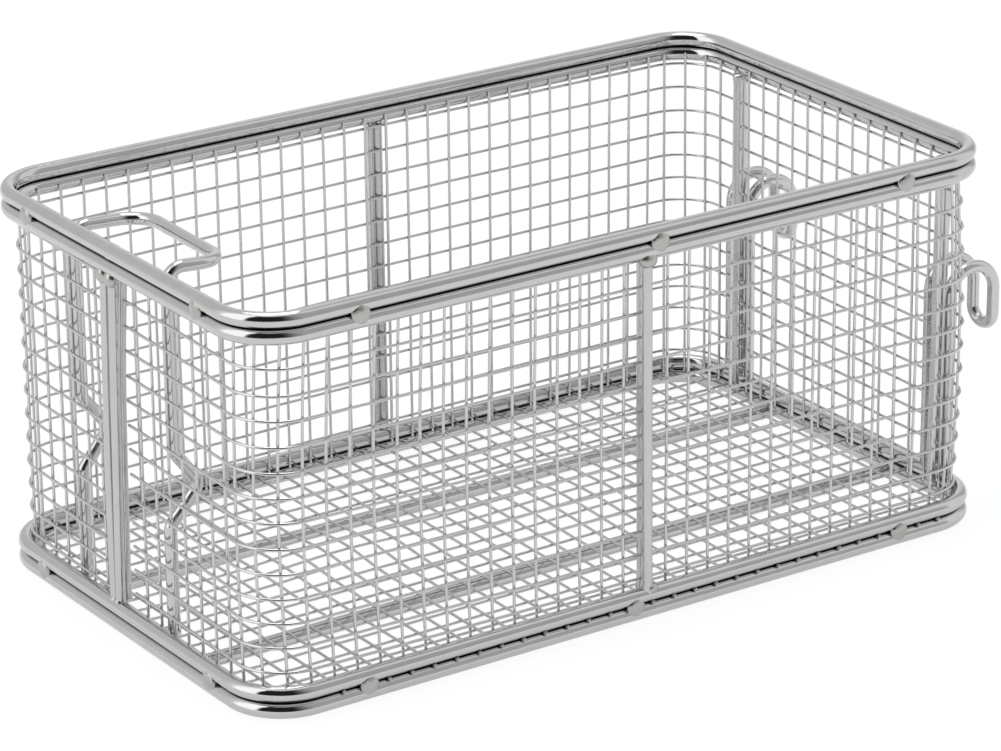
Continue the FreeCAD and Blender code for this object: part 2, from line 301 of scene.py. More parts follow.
def tubeTree():
    # a round section follows each line, as thick as its points say, and wires wander a little
    tree, given, put = newTree("roundTube", [
        ("Radius", "NodeSocketFloat", 0.003), ("Sides", "NodeSocketInt", 24),
        ("Wander", "NodeSocketFloat", 0.0), ("Wander Scale", "NodeSocketFloat", 22.0),
        ("Seed", "NodeSocketFloat", 5.0),
        ("Material", "NodeSocketMaterial", None)])
    nodes, links = tree.nodes, tree.links
    line = nodes.new("GeometryNodeMeshToCurve")
    links.new(given.outputs["Geometry"], line.inputs["Mesh"])
    noiseStep = 7.31  # how far apart neighbouring lines are in the noise
    number = nodes.new("ShaderNodeMath")
    number.operation = "MULTIPLY_ADD"
    number.inputs[1].default_value = noiseStep
    links.new(field(tree, "number"), number.inputs[0])
    links.new(given.outputs["Seed"], number.inputs[2])
    moved = pushed(tree, line.outputs["Curve"], given.outputs["Wander"], given.outputs["Wander Scale"],
                   number.outputs["Value"])
    # the length along the line and the share round the section become the UV map
    along = nodes.new("GeometryNodeSplineParameter")
    keepAlong = nodes.new("GeometryNodeCaptureAttribute")
    keepAlong.domain = "POINT"
    keepAlong.capture_items.new("FLOAT", "along")
    links.new(moved, keepAlong.inputs["Geometry"])
    links.new(along.outputs["Length"], keepAlong.inputs["along"])
    section = nodes.new("GeometryNodeCurvePrimitiveCircle")
    links.new(given.outputs["Sides"], section.inputs["Resolution"])
    links.new(given.outputs["Radius"], section.inputs["Radius"])
    share = nodes.new("GeometryNodeSplineParameter")
    keepRound = nodes.new("GeometryNodeCaptureAttribute")
    keepRound.domain = "POINT"
    keepRound.capture_items.new("FLOAT", "round")
    links.new(section.outputs["Curve"], keepRound.inputs["Geometry"])
    links.new(share.outputs["Factor"], keepRound.inputs["round"])
    tube = nodes.new("GeometryNodeCurveToMesh")
    tube.inputs["Fill Caps"].default_value = True
    links.new(keepAlong.outputs["Geometry"], tube.inputs["Curve"])
    links.new(keepRound.outputs["Geometry"], tube.inputs["Profile Curve"])
    links.new(field(tree, "swell"), tube.inputs["Scale"])
    pair = nodes.new("ShaderNodeCombineXYZ")
    links.new(keepRound.outputs["round"], pair.inputs["X"])
    centimetres = nodes.new("ShaderNodeMath")
    centimetres.operation = "DIVIDE"
    centimetres.inputs[1].default_value = 10 * mm
    links.new(keepAlong.outputs["along"], centimetres.inputs[0])
    links.new(centimetres.outputs["Value"], pair.inputs["Y"])
    uv = nodes.new("GeometryNodeStoreNamedAttribute")
    uv.data_type = "FLOAT2"
    uv.domain = "CORNER"
    uv.inputs["Name"].default_value = "UVMap"
    links.new(tube.outputs["Mesh"], uv.inputs["Geometry"])
    links.new(pair.outputs["Vector"], uv.inputs["Value"])
    real = nodes.new("GeometryNodeRealizeInstances")
    links.new(uv.outputs["Geometry"], real.inputs["Geometry"])
    coat = nodes.new("GeometryNodeSetMaterial")
    links.new(real.outputs["Geometry"], coat.inputs["Geometry"])
    links.new(given.outputs["Material"], coat.inputs["Material"])
    links.new(coat.outputs["Geometry"], put.inputs["Geometry"])
    return tree


roundTube = tubeTree()
pointFields = {"outward": "FLOAT_VECTOR", "size": "FLOAT_VECTOR", "number": "FLOAT", "swell": "FLOAT"}


def mark(point, outward=(0.0, 0.0, 1.0), number=0.0, swell=1.0, size=(1.0, 1.0, 1.0)):
    return {"point": Vector(point), "outward": outward, "number": number, "swell": swell, "size": size}


def marked(points):
    return [mark(point) for point in points]


def linesObject(name, lines, closed=False):
    # lines of marks, joined point to point, with what the marks say kept as attributes
    mesh = bpy.data.meshes.new(name)
    marks = [m for line in lines for m in line]
    edges, first = [], 0
    for line in lines:
        edges += [(first + i, first + i + 1) for i in range(len(line) - 1)]
        if closed:
            edges.append((first + len(line) - 1, first))
        first += len(line)
    mesh.from_pydata([m["point"] for m in marks], edges, [])
    for label, kind in pointFields.items():
        made = mesh.attributes.new(label, kind, "POINT")
        if kind == "FLOAT":
            made.data.foreach_set("value", [m[label] for m in marks])
        else:
            made.data.foreach_set("vector", [c for m in marks for c in m[label]])
    thing = bpy.data.objects.new(name, mesh)
    scene.collection.objects.link(thing)
    return thing


def finishTree(thing, tree, values, nodes, smoothAngle=50):
    # set the named inputs, turn the result into a plain mesh and hand it to the frame
    modifier = thing.modifiers.new("shape", "NODES")
    modifier.node_group = tree
    named = {s.name: s.identifier for s in tree.interface.items_tree if s.in_out == "INPUT"}
    for label, value in values.items():
        modifier[named[label]] = value
    shaped = thing.evaluated_get(bpy.context.evaluated_depsgraph_get())
    made = bpy.data.meshes.new_from_object(shaped)
    thing.modifiers.clear()
    thing.data = made
    made.shade_smooth()
    made.set_sharp_from_angle(angle=math.radians(smoothAngle))
    for extra in pointFields:
        if extra in made.attributes:
            made.attributes.remove(made.attributes[extra])
    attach(thing, "root")
    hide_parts(*nodes)


def bentPath(corners, bends, degreesPerPoint=6):
    # straight runs through the corners, with an arc of its own radius at each one between the ends
    smallestTurn, smallestRun, fewestSteps = 0.001, 0.01 * mm, 3
    path = [corners[0]]
    for before, corner, after, bend in zip(corners, corners[1:], corners[2:], bends):
        into = (corner - before).normalized()
        out = (after - corner).normalized()
        angle = into.angle(out)
        if angle < smallestTurn:
            continue
        setback = bend * math.tan(angle / 2)
        start = corner - into * setback
        axis = into.cross(out).normalized()
        centre = start + axis.cross(into) * bend
        steps = max(fewestSteps, round(math.degrees(angle) / degreesPerPoint))
        if (start - path[-1]).length > smallestRun:
            path.append(start)
        for i in range(1, steps + 1):
            path.append(centre + Matrix.Rotation(angle * i / steps, 3, axis) @ (start - centre))
    if (corners[-1] - path[-1]).length > smallestRun:
        path.append(corners[-1])
    return path


# Rings, with the butt weld of the rim rod in the handle end
rings = {"cornerRadius": 32.0 * mm, "sides": 36, "degreesPerPoint": 4,
         "buttY": 1.0 * mm, "buttHalf": 3.2 * mm, "buttSwell": 0.035,
         "buttShares": (0.8, 0.6, 0.5, 0.4, 0.2)}


def makeRing(name, node, buttSwell=0.0):
    low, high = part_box(node)
    radius = (high.z - low.z) / 2
    middle = (low + high) / 2
    halfX, halfY = (high.x - low.x) / 2 - radius, (high.y - low.y) / 2 - radius
    seam = Vector((middle.x - halfX, rings["buttY"] - rings["buttHalf"], middle.z))
    corners = [seam]
    for sideX, sideY in ((-1, -1), (1, -1), (1, 1), (-1, 1)):
        corners.append(Vector((middle.x + sideX * halfX, middle.y + sideY * halfY, middle.z)))
    corners.append(seam + Vector((0, 2 * rings["buttHalf"], 0)))
    path = marked(bentPath(corners, [rings["cornerRadius"] - radius] * 4, rings["degreesPerPoint"]))
    for share in rings["buttShares"]:
        point = seam + Vector((0, 2 * rings["buttHalf"] * share, 0))
        path.append(mark(point, swell=1 + buttSwell * math.sin(share * math.pi)))
    ring = linesObject(name, [path], closed=True)
    values = {"Radius": radius, "Sides": rings["sides"], "Material": steels["ringSteel"]}
    finishTree(ring, roundTube, values, [node])


makeRing("upperRimRing", "upper_rim_ring", rings["buttSwell"])
makeRing("lowerRimRing", "lower_rim_ring")
makeRing("upperBaseRing", "upper_base_ring")
makeRing("lowerBaseRing", "lower_base_ring")
print("rings made")

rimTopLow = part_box("upper_rim_ring")[0]
rimLow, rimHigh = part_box("lower_rim_ring")
baseLow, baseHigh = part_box("upper_base_ring")
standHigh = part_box("lower_base_ring")[1]
ringRadius = (rimHigh.z - rimLow.z) / 2
middleX = (rimLow.x + rimHigh.x) / 2
ringHalfX = (rimHigh.x - rimLow.x) / 2 - ringRadius
ringHalfY = (rimHigh.y - rimLow.y) / 2 - ringRadius
creviceZ = (standHigh.z + baseLow.z) / 2
rimCreviceZ = (rimHigh.z + rimTopLow.z) / 2


def basketPoint(x, y, z):
    # a place in millimetres from the middle of the rings, in the frame's metres
    return Vector((middleX + x * mm, y * mm, z * mm))


# Posts: two or three thin rods in each place, with flared feet, and heads melted into the lower rim
# ring. Radii, places and heights are in millimetres.
posts = {"clear": 1.0, "flare": 0.30, "flareHigh": 7.0, "flareSteps": 6, "sides": 28,
         "roundEnd": ((0.16, 0.35), (0.14, 0.75), (0.08, 1.12))}
postRods = {
    "frontPost": {"node": "front_post", "radius": 2.85, "line": [(3.3, -125.6, 12), (3.3, -125.6, 188)]},
    "frontInnerPost": {"node": "front_post", "radius": 2.85,
                       "line": [(7.2, -116.6, 12), (7.2, -116.6, 188)]},
    "backPost": {"node": "back_post", "radius": 2.85, "line": [(11.9, 125.6, 12), (11.7, 125.6, 188)]},
    "backSecondPost": {"node": "back_post", "radius": 1.6, "line": [(6.9, 124.3, 12), (6.5, 124.3, 188)]},
    "handleEndOuterPost": {"node": "handle_end_outer_post", "radius": 2.4,
                           "line": [(-214.2, 13.2, 12), (-214.2, 13.8, 52), (-214.2, 12.4, 117),
                                    (-214.2, 10.7, 156), (-214.2, 9.4, 188)]},
    "handleEndSecondPost": {"node": "handle_end_outer_post", "radius": 2.4,
                            "line": [(-214.2, 8.0, 12), (-214.2, 6.8, 54), (-214.2, 4.4, 119),
                                     (-214.2, 2.5, 158), (-214.2, 1.3, 188)]},
    "handleEndInnerPost": {"node": "handle_end_inner_post", "radius": 2.4,
                           "line": [(-206.1, 16.8, 12), (-206.1, 13.3, 128), (-206.1, 6.4, 188)]},
    "hookEndFrontPost": {"node": "hook_end_front_post", "radius": 2.85,
                         "line": [(215.4, -87.0, 12), (215.4, -87.4, 118), (215.4, -89.6, 188)]},
    "hookEndFrontInnerPost": {"node": "hook_end_front_post", "radius": 2.4,
                              "line": [(206.1, -93.5, 12), (206.1, -96.0, 188)]},
    "hookEndBackPost": {"node": "hook_end_back_post", "radius": 2.85,
                        "line": [(215.4, 82.5, 12), (215.4, 82.5, 188)]},
    "hookEndBackInnerPost": {"node": "hook_end_back_post", "radius": 2.4,
                             "line": [(206.1, 75.5, 12), (206.1, 74.0, 188)]}}


def postMarks(line):
    # smooth the measured line by cutting its corners twice, then add points where the ends flare
    points = [Vector(p) for p in line]
    for _ in range(2):
        cut = [points[0]]
        for near, far in zip(points, points[1:]):
            cut += [near.lerp(far, 0.25), near.lerp(far, 0.75)]
        points = cut + [points[-1]]
    high, count = posts["flareHigh"], posts["flareSteps"]
    marks = []
    for start, end in ((points[0], points[1]), (points[-1], points[-2])):
        way = (end - start).normalized()
        steps = [start + way * (high * i / count) for i in range(count + 1)]
        swells = [1 + posts["flare"] * (1 - i / count) ** 2 for i in range(count + 1)]
        ends = [(start - way * high * up, swell) for up, swell in posts["roundEnd"]]
        marks.append([mark(basketPoint(*p), swell=s) for p, s in ends + list(zip(steps, swells))])
    lowest = points[0].z + posts["clear"] + high
    highest = points[-1].z - posts["clear"] - high
    inner = [mark(basketPoint(*p)) for p in points[1:-1] if lowest < p.z < highest]
    return marks[0] + inner + marks[1][::-1]


for name, rod in postRods.items():
    post = linesObject(name, [postMarks(rod["line"])])
    values = {"Radius": rod["radius"] * mm, "Sides": posts["sides"], "Material": steels["frameSteel"]}
    finishTree(post, roundTube, values, [rod["node"]])


# Floor rods, under the floor mesh
floorRods = {"sides": 28}
for name, node in (("frontFloorRod", "front_floor_rod"), ("backFloorRod", "back_floor_rod")):
    low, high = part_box(node)
    middle = (low + high) / 2
    rod = linesObject(name, [marked([(low.x, middle.y, middle.z), (high.x, middle.y, middle.z)])])
    values = {"Radius": (high.z - low.z) / 2, "Sides": floorRods["sides"],
              "Material": steels["handleSteel"]}
    finishTree(rod, roundTube, values, [node])
print("posts and floor rods made")


# Hooks: each one bent rod with two legs, two arches and a tongue that joins them
hooks = {"rodRadius": 3.175 * mm, "drop": 35.5 * mm, "sides": 28}


def makeHook(name, node):
    low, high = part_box(node)
    radius = hooks["rodRadius"]
    legX, tongueX = low.x + radius, high.x - radius
    topZ, footZ = high.z - radius, low.z
    legs = (low.y + radius, high.y - radius)
    sides = []
    for y in legs:
        sides.append([Vector((legX, y, footZ)), Vector((legX, y, topZ)), Vector((tongueX, y, topZ)),
                      Vector((tongueX, y, topZ - hooks["drop"]))])
    arch, turn = (tongueX - legX) / 2, (legs[1] - legs[0]) / 2
    path = bentPath(sides[0] + sides[1][::-1], [arch, arch, turn, turn, arch, arch])
    hook = linesObject(name, [marked(path)])
    values = {"Radius": radius, "Sides": hooks["sides"], "Material": steels["handleSteel"]}
    finishTree(hook, roundTube, values, [node])


makeHook("frontHook", "front_hook")
makeHook("backHook", "back_hook")

# Handle loop: two legs with an inward kink, and a grip whose front arm is higher and shorter
# than its back arm
handle = {"rodRadius": 3.175 * mm, "bend": 8.0 * mm, "gripBend": 14.5 * mm, "dip": 2.2 * mm,
          "kinkZ": 86.0 * mm, "kinkHalf": 20.0 * mm, "kinkDepth": 15.5 * mm, "sides": 28,
          "front": {"armZ": 198.2 * mm, "reach": 31.0 * mm, "footShift": 6.0 * mm},
          "back": {"armZ": 192.8 * mm, "reach": 40.0 * mm, "footShift": 1.0 * mm}}
low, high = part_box("handle_loop")
legX = low.x + handle["rodRadius"]
legPath = []
for side, y in (("front", low.y + handle["rodRadius"]), ("back", high.y - handle["rodRadius"])):
    arm = handle[side]
    footY = y + arm["footShift"]
    legPath.append([Vector((legX, footY, low.z)),
                    Vector((legX, footY, handle["kinkZ"] - handle["kinkHalf"])),
                    Vector((legX + handle["kinkDepth"], (y + footY) / 2, handle["kinkZ"])),
                    Vector((legX, y, handle["kinkZ"] + handle["kinkHalf"])),
                    Vector((legX, y, arm["armZ"])),
                    Vector((legX + arm["reach"], y, arm["armZ"] - handle["dip"]))])
corners = legPath[0] + legPath[1][::-1]
bends = [handle["bend"]] * 4 + [handle["gripBend"]] * 2 + [handle["bend"]] * 4
loop = linesObject("handleLoop", [marked(bentPath(corners, bends))])
values = {"Radius": handle["rodRadius"], "Sides": handle["sides"], "Material": steels["handleSteel"]}
finishTree(loop, roundTube, values, ["handle_loop"])
print("hooks and handle made")


# Side mesh: one strip from seam to seam, level wires spot welded to the outside of the uprights.
# Distances run from the back end of the handle end wall: handle end, front, hook end, back.
# Numbers without mm are millimetres too, apart from counts, shares and the first upright's number.
strip = {"wireRadius": 0.77 * mm, "seat": 0.05 * mm, "sunk": 0.06 * mm, "sides": 8, "wander": 0.55 * mm,
         "cornerWires": 3, "topLap": 5.3 * mm, "flatStep": 6.0, "cornerStep": 2.5, "uprightSteps": 24,
         "startY": -2.0, "endY": 13.0, "firstRowZ": 174.0, "sink": 6.0, "wave": 1.9,
         "rowDrops": (-13.3, 0, 13.1, 25.6, 38.4, 51.1, 63.7, 76.0, 88.9, 101.5, 113.9, 126.2, 138.6,
                      151.0),
         "topRowLimit": 184.8, "topRowShare": 0.105, "lowRowLimit": 17.15,
         "bulge": 2.8, "bulgeBack": 0.55, "bulgeBefore": 70, "bulgeAfter": 0.6,
         "bow": 3.0, "lean": 1.2, "backLean": 2.0, "firstUprightNumber": 100.0}
flatBend = rings["cornerRadius"] - 2 * ringRadius - strip["seat"]
halfX = ringHalfX - ringRadius - strip["seat"]
halfY = ringHalfY - ringRadius - strip["seat"]
flatX, flatY = halfX - flatBend, halfY - flatBend
cornerLength = flatBend * math.pi / 2
wallOrder = [("handleEnd", Vector((0, -1, 0)), Vector((-1, 0, 0)), flatY, halfX),
             ("front", Vector((1, 0, 0)), Vector((0, -1, 0)), flatX, halfY),
             ("hookEnd", Vector((0, 1, 0)), Vector((1, 0, 0)), flatY, halfX),
             ("back", Vector((-1, 0, 0)), Vector((0, 1, 0)), flatX, halfY)]
around = sum(2 * wall[3] for wall in wallOrder) + 4 * cornerLength
wallStart, reached = {}, 0.0
for wall in wallOrder:
    wallStart[wall[0]] = reached
    reached += 2 * wall[3] + cornerLength


def stripPoint(distance):
    # a place between the two layers of the strip, that far round, and its outward way
    distance %= around
    for name, along, facing, flat, away in wallOrder:
        if distance <= 2 * flat:
            return facing * away + along * (distance - flat), facing
        distance -= 2 * flat
        if distance <= cornerLength:
            outward = Matrix.Rotation(distance / flatBend, 3, "Z") @ facing
            return facing * (away - flatBend) + along * flat + outward * flatBend, outward
        distance -= cornerLength


def hump(value):
    # 0 at -1 and 1, 1 at 0, smooth
    return math.cos(value * math.pi / 2) ** 2 if abs(value) < 1 else 0.0


bulgeAt = wallStart["hookEnd"] - strip["bulgeBack"] * cornerLength
bulgeBefore, bulgeAfter = strip["bulgeBefore"] * mm, strip["bulgeAfter"] * cornerLength
meshLow, meshHigh = baseHigh.z, rimLow.z


def bulgeOut(distance, z):
    # the strip stands out a little at the front corner of the hook end, halfway up
    off = distance % around - bulgeAt
    side = off / bulgeBefore if off < 0 else off / bulgeAfter
    high = max(0.0, min(1.0, (z - meshLow) / (meshHigh - meshLow)))
    return strip["bulge"] * mm * hump(side) * math.sin(high * math.pi)


seamStart = flatY - strip["startY"] * mm
seamEnd = around + flatY - strip["endY"] * mm


def rowZ(drop, distance):
    # a row sinks round the strip with a small wave, and stays between the rings
    share = (distance - seamStart) / (seamEnd - seamStart)
    z = strip["firstRowZ"] - drop - strip["sink"] * share - strip["wave"] * math.sin(2 * math.pi * share)
    return max(strip["lowRowLimit"], min(strip["topRowLimit"], z)) * mm


def levelLines():
    # points stand closer together round the corners than on the flats
    stops, distance = [seamStart], seamStart
    while distance < seamEnd:
        inCorner = any(0 <= (distance - wallStart[name] - 2 * flat) % around < cornerLength
                       for name, _, _, flat, _ in wallOrder)
        distance += (strip["cornerStep"] if inCorner else strip["flatStep"]) * mm
        stops.append(min(distance, seamEnd))
    lines = []
    for number, drop in enumerate(strip["rowDrops"]):
        line = []
        for stop in stops:
            if drop < 0 and (stop - seamStart) / (seamEnd - seamStart) < strip["topRowShare"]:
                continue
            point, outward = stripPoint(stop)
            z = rowZ(drop, stop)
            out = strip["wireRadius"] + bulgeOut(stop, z)
            line.append(mark(point + outward * out + Vector((middleX, 0, z)), number=number))
        lines.append(line)
    return lines


# the uprights of each wall: the place of one, the pitch and the stretch's two ends, in mm, with
# places counted from the wall's middle
uprightRuns = {"handleEnd": ((10.5, 13.0, 0, 97), (-28.5, 13.1, -97, -27)),
               "front": ((-6.6, 12.69, -186, 186),),
               "hookEnd": ((5.0, 12.68, -97, 97),),
               "back": ((-1.4, 12.7, -186, 186),)}


def every(first, pitch, low, high):
    steps = range(math.ceil((low - first) / pitch), math.floor((high - first) / pitch) + 1)
    return [first + pitch * i for i in steps]


def wallUprights(name):
    flat = [wall[3] for wall in wallOrder if wall[0] == name][0]
    offsets = sorted(offset for run in uprightRuns[name] for offset in every(*run))
    return [wallStart[name] + flat + offset * mm for offset in offsets]


uprightStations = [wallUprights(name) for name in uprightRuns]


def uprightLines():
    # uprights lean a little on the front and back, and bow near the front corner of the handle end
    stations = []
    for here, following in zip(uprightStations, uprightStations[1:] + uprightStations[:1]):
        nextOne = following[0] + (around if following[0] < here[-1] else 0.0)
        gap = (nextOne - here[-1]) / (strip["cornerWires"] + 1)
        stations += here + [here[-1] + gap * (i + 1) for i in range(strip["cornerWires"])]
    low, high = creviceZ + strip["wireRadius"], rimLow.z + strip["topLap"]
    lines = []
    for number, station in enumerate(stations):
        line = []
        for i in range(strip["uprightSteps"] + 1):
            share = i / strip["uprightSteps"]
            z = low + (high - low) * share
            shift = 0.0
            fromFront = station - wallStart["front"] - flatX
            fromBack = station - wallStart["back"] - flatX
            if abs(fromFront) <= flatX + cornerLength:
                toSeam = -fromFront / flatX
                bowed = (strip["bow"] * math.sin(share * math.pi) * max(0.0, min(1.0, toSeam))
                         * hump(max(0.0, toSeam - 1.0)))
                shift = strip["lean"] * (share - 0.5) - bowed
            elif abs(fromBack) <= flatX:
                shift = -strip["backLean"] * share * max(0.0, -fromBack / flatX)
            point, outward = stripPoint(station + shift * mm)
            out = strip["sunk"] - strip["wireRadius"] + bulgeOut(station, z)
            line.append(mark(point + outward * out + Vector((middleX, 0, z)),
                             number=strip["firstUprightNumber"] + number))
        lines.append(line)
    return lines


wallNodes = ["front_mesh", "back_mesh", "handle_end_mesh", "hook_end_mesh", "handle_end_front_corner_mesh",
             "handle_end_back_corner_mesh", "hook_end_front_corner_mesh", "hook_end_back_corner_mesh"]
wireValues = {"Radius": strip["wireRadius"], "Sides": strip["sides"], "Wander": strip["wander"],
              "Material": steels["wireSteel"]}
levelWires = linesObject("sideLevelWires", levelLines())
finishTree(levelWires, roundTube, wireValues, wallNodes)
uprights = uprightLines()
uprightWires = linesObject("sideUprightWires", uprights)
finishTree(uprightWires, roundTube, wireValues, wallNodes)
print("side mesh made,", len(uprights), "uprights")


# Floor mesh: crosswise wires welded on the lengthwise ones, ends held in the crevice between the
# base rings. Numbers here are millimetres, apart from the first wire's number.
floorMesh = {"pitch": 12.7, "firstX": 5.8, "firstY": -2.5, "endInside": 2.3, "cornerClear": 8.0,
             "step": 6, "endSlope": 9.0, "firstNumber": 300.0,
             "rodHump": {"high": 1.7, "x": 60, "halfX": 90.0, "y": 0, "halfY": 52.0},
             "handleHump": {"high": 2.6, "x": -85, "halfX": 75.0, "y": 12, "halfY": 42.0}}


def floorRise(x, y):
    # the floor rises a little between its two rods, more near the handle end
    rise = 0.0
    for rod in (floorMesh["rodHump"], floorMesh["handleHump"]):
        rise += rod["high"] * hump((x - rod["x"]) / rod["halfX"]) * hump((y - rod["y"]) / rod["halfY"])
    return rise


def floorLines():
    # each wire ends at the crevice's height and reaches its own layer a little way in
    reachX, reachY = ringHalfX / mm - floorMesh["endInside"], ringHalfY / mm - floorMesh["endInside"]
    bend = (rings["cornerRadius"] - ringRadius) / mm - floorMesh["endInside"]
    radius, seat = strip["wireRadius"] / mm, strip["sunk"] / mm
    middle = creviceZ / mm
    lines, ends, number = [], [], floorMesh["firstNumber"]
    plans = (("across", reachX, reachY, floorMesh["firstX"], radius - seat),
             ("along", reachY, reachX, floorMesh["firstY"], -radius + seat))
    for way, halfOff, halfRun, first, layer in plans:
        inside = halfOff - floorMesh["cornerClear"]
        for off in every(first, floorMesh["pitch"], -inside, inside):
            past = abs(off) - (halfOff - bend)
            half = halfRun if past <= 0 else halfRun - bend + math.sqrt(bend ** 2 - past ** 2)
            count = round(2 * half / floorMesh["step"])
            line = []
            for i in range(count + 1):
                run = -half + 2 * half * i / count
                x, y = (off, run) if way == "across" else (run, off)
                nearEnd = min(1.0, (half - abs(run)) / floorMesh["endSlope"])
                z = middle + layer * nearEnd + floorRise(x, y)
                line.append(mark(basketPoint(x, y, z), number=number))
            lines.append(line)
            number += 1
            for side in (-1, 1):
                ends.append((way, off, side * half, past))
    return lines, ends


floorLineMarks, floorEnds = floorLines()
floorWires = linesObject("floorWires", floorLineMarks)
finishTree(floorWires, roundTube, wireValues, ["floor_mesh"])
print("floor mesh made,", len(floorLineMarks), "wires")


# Weld beads between each pair of rings, blobs at the posts, and small ones where floor wires end in
# the crevice. Places and half sizes are in millimetres.
beads = {"size": (5.3, 2.2, 5.4), "bulge": 1.0, "rimX": (-158, 9.6, 158), "baseX": (-158, -5, 158),
         "endY": (-80.5, 80.5), "uneven": 0.9 * mm, "noiseScale": 240.0,
         "wireEnd": (1.1, 1.0, 0.95), "wireEndOut": 2.55, "wireEndClear": 2,
         "rimSegments": 28, "baseSegments": 20, "ballRings": 16, "smoothAngle": 80}


def beadTree():
    tree, given, put = newTree("weldBeads", [
        ("Segments", "NodeSocketInt", 28), ("Uneven", "NodeSocketFloat", 0.0003),
        ("Noise Scale", "NodeSocketFloat", 240.0), ("Seed", "NodeSocketFloat", 3.0),
        ("Material", "NodeSocketMaterial", None)])
    nodes, links = tree.nodes, tree.links
    ball = nodes.new("GeometryNodeMeshUVSphere")
    ball.inputs["Rings"].default_value = beads["ballRings"]
    ball.inputs["Radius"].default_value = 1.0
    links.new(given.outputs["Segments"], ball.inputs["Segments"])
    turn = nodes.new("FunctionNodeAlignRotationToVector")
    turn.axis = "Y"
    turn.pivot_axis = "Z"
    links.new(field(tree, "outward", "FLOAT_VECTOR"), turn.inputs["Vector"])
    spots = nodes.new("GeometryNodeMeshToPoints")
    links.new(given.outputs["Geometry"], spots.inputs["Mesh"])
    onSpots = nodes.new("GeometryNodeInstanceOnPoints")
    links.new(spots.outputs["Points"], onSpots.inputs["Points"])
    links.new(ball.outputs["Mesh"], onSpots.inputs["Instance"])
    links.new(turn.outputs["Rotation"], onSpots.inputs["Rotation"])
    links.new(field(tree, "size", "FLOAT_VECTOR"), onSpots.inputs["Scale"])
    real = nodes.new("GeometryNodeRealizeInstances")
    links.new(onSpots.outputs["Instances"], real.inputs["Geometry"])
    moved = pushed(tree, real.outputs["Geometry"], given.outputs["Uneven"], given.outputs["Noise Scale"],
                   given.outputs["Seed"])
    coat = nodes.new("GeometryNodeSetMaterial")
    links.new(moved, coat.inputs["Geometry"])
    links.new(given.outputs["Material"], coat.inputs["Material"])
    links.new(coat.outputs["Geometry"], put.inputs["Geometry"])
    return tree


weldBeads = beadTree()


def bead(x, y, z, outward, size):
    return [mark(basketPoint(x, y, z), outward=outward, size=[s * mm for s in size])]


def ringBeads(z, longX):
    out = ringRadius / mm + beads["bulge"] - beads["size"][1]
    reachX, reachY = ringHalfX / mm + out, ringHalfY / mm + out
    spots = []
    for side in (-1.0, 1.0):
        spots += [bead(x, side * reachY, z / mm, (0.0, side, 0.0), beads["size"]) for x in longX]
        spots += [bead(side * reachX, y, z / mm, (side, 0.0, 0.0), beads["size"]) for y in beads["endY"]]
    return spots


# heads and feet of the posts: place, way out, half sizes
front, back, left, right = (0.0, -1.0, 0.0), (0.0, 1.0, 0.0), (-1.0, 0.0, 0.0), (1.0, 0.0, 0.0)
postHeads = [((3.4, -126.6, 185.2), front, (5.0, 3.3, 4.4)),
             ((11.7, 126.6, 185.2), back, (5.0, 3.3, 4.4)),
             ((-215.2, 8.8, 184.9), left, (4.4, 3.6, 4.8)),
             ((-215.2, 1.2, 184.5), left, (4.2, 3.6, 4.6)),
             ((215.6, -89.5, 185.0), right, (4.6, 3.3, 4.0)),
             ((215.6, 82.5, 185.0), right, (4.6, 3.3, 4.0))]
postFeet = [((5.2, -126.2, 15.2), front, (4.2, 3.0, 3.0)),
            ((11.9, 126.2, 15.2), back, (4.2, 3.0, 3.0)),
            ((-214.8, 12.6, 15.4), left, (3.4, 2.8, 3.0)),
            ((-214.8, 8.2, 15.2), left, (3.2, 2.8, 3.0)),
            ((215.4, -87.0, 15.4), right, (4.0, 3.0, 3.0)),
            ((215.4, 82.5, 15.4), right, (4.0, 3.0, 3.0))]


def floorEndBeads():
    # none round the corners and none in the handle end
    spots = []
    out = beads["wireEndOut"]
    for way, off, run, past in floorEnds:
        side = math.copysign(1.0, run)
        if past > -beads["wireEndClear"] or (way == "along" and side < 0):
            continue
        if way == "across":
            place, facing = (off, side * (ringHalfY / mm + out), creviceZ / mm), (0.0, side, 0.0)
        else:
            place, facing = (side * (ringHalfX / mm + out), off, creviceZ / mm), (side, 0.0, 0.0)
        spots.append(bead(*place, facing, beads["wireEnd"]))
    return spots


def makeBeads(name, node, spots, segments):
    thing = linesObject(name, spots)
    values = {"Segments": segments, "Uneven": beads["uneven"], "Noise Scale": beads["noiseScale"],
              "Material": steels["beadSteel"]}
    finishTree(thing, weldBeads, values, [node], beads["smoothAngle"])


def postBeads(plans):
    return [bead(*at, way, size) for at, way, size in plans]


rimSpots = ringBeads(rimCreviceZ, beads["rimX"]) + postBeads(postHeads)
baseSpots = ringBeads(creviceZ, beads["baseX"]) + postBeads(postFeet) + floorEndBeads()
makeBeads("rimBeads", "rim_weld_bridges", rimSpots, beads["rimSegments"])
makeBeads("baseBeads", "base_weld_bridges", baseSpots, beads["baseSegments"])
print("weld beads made")


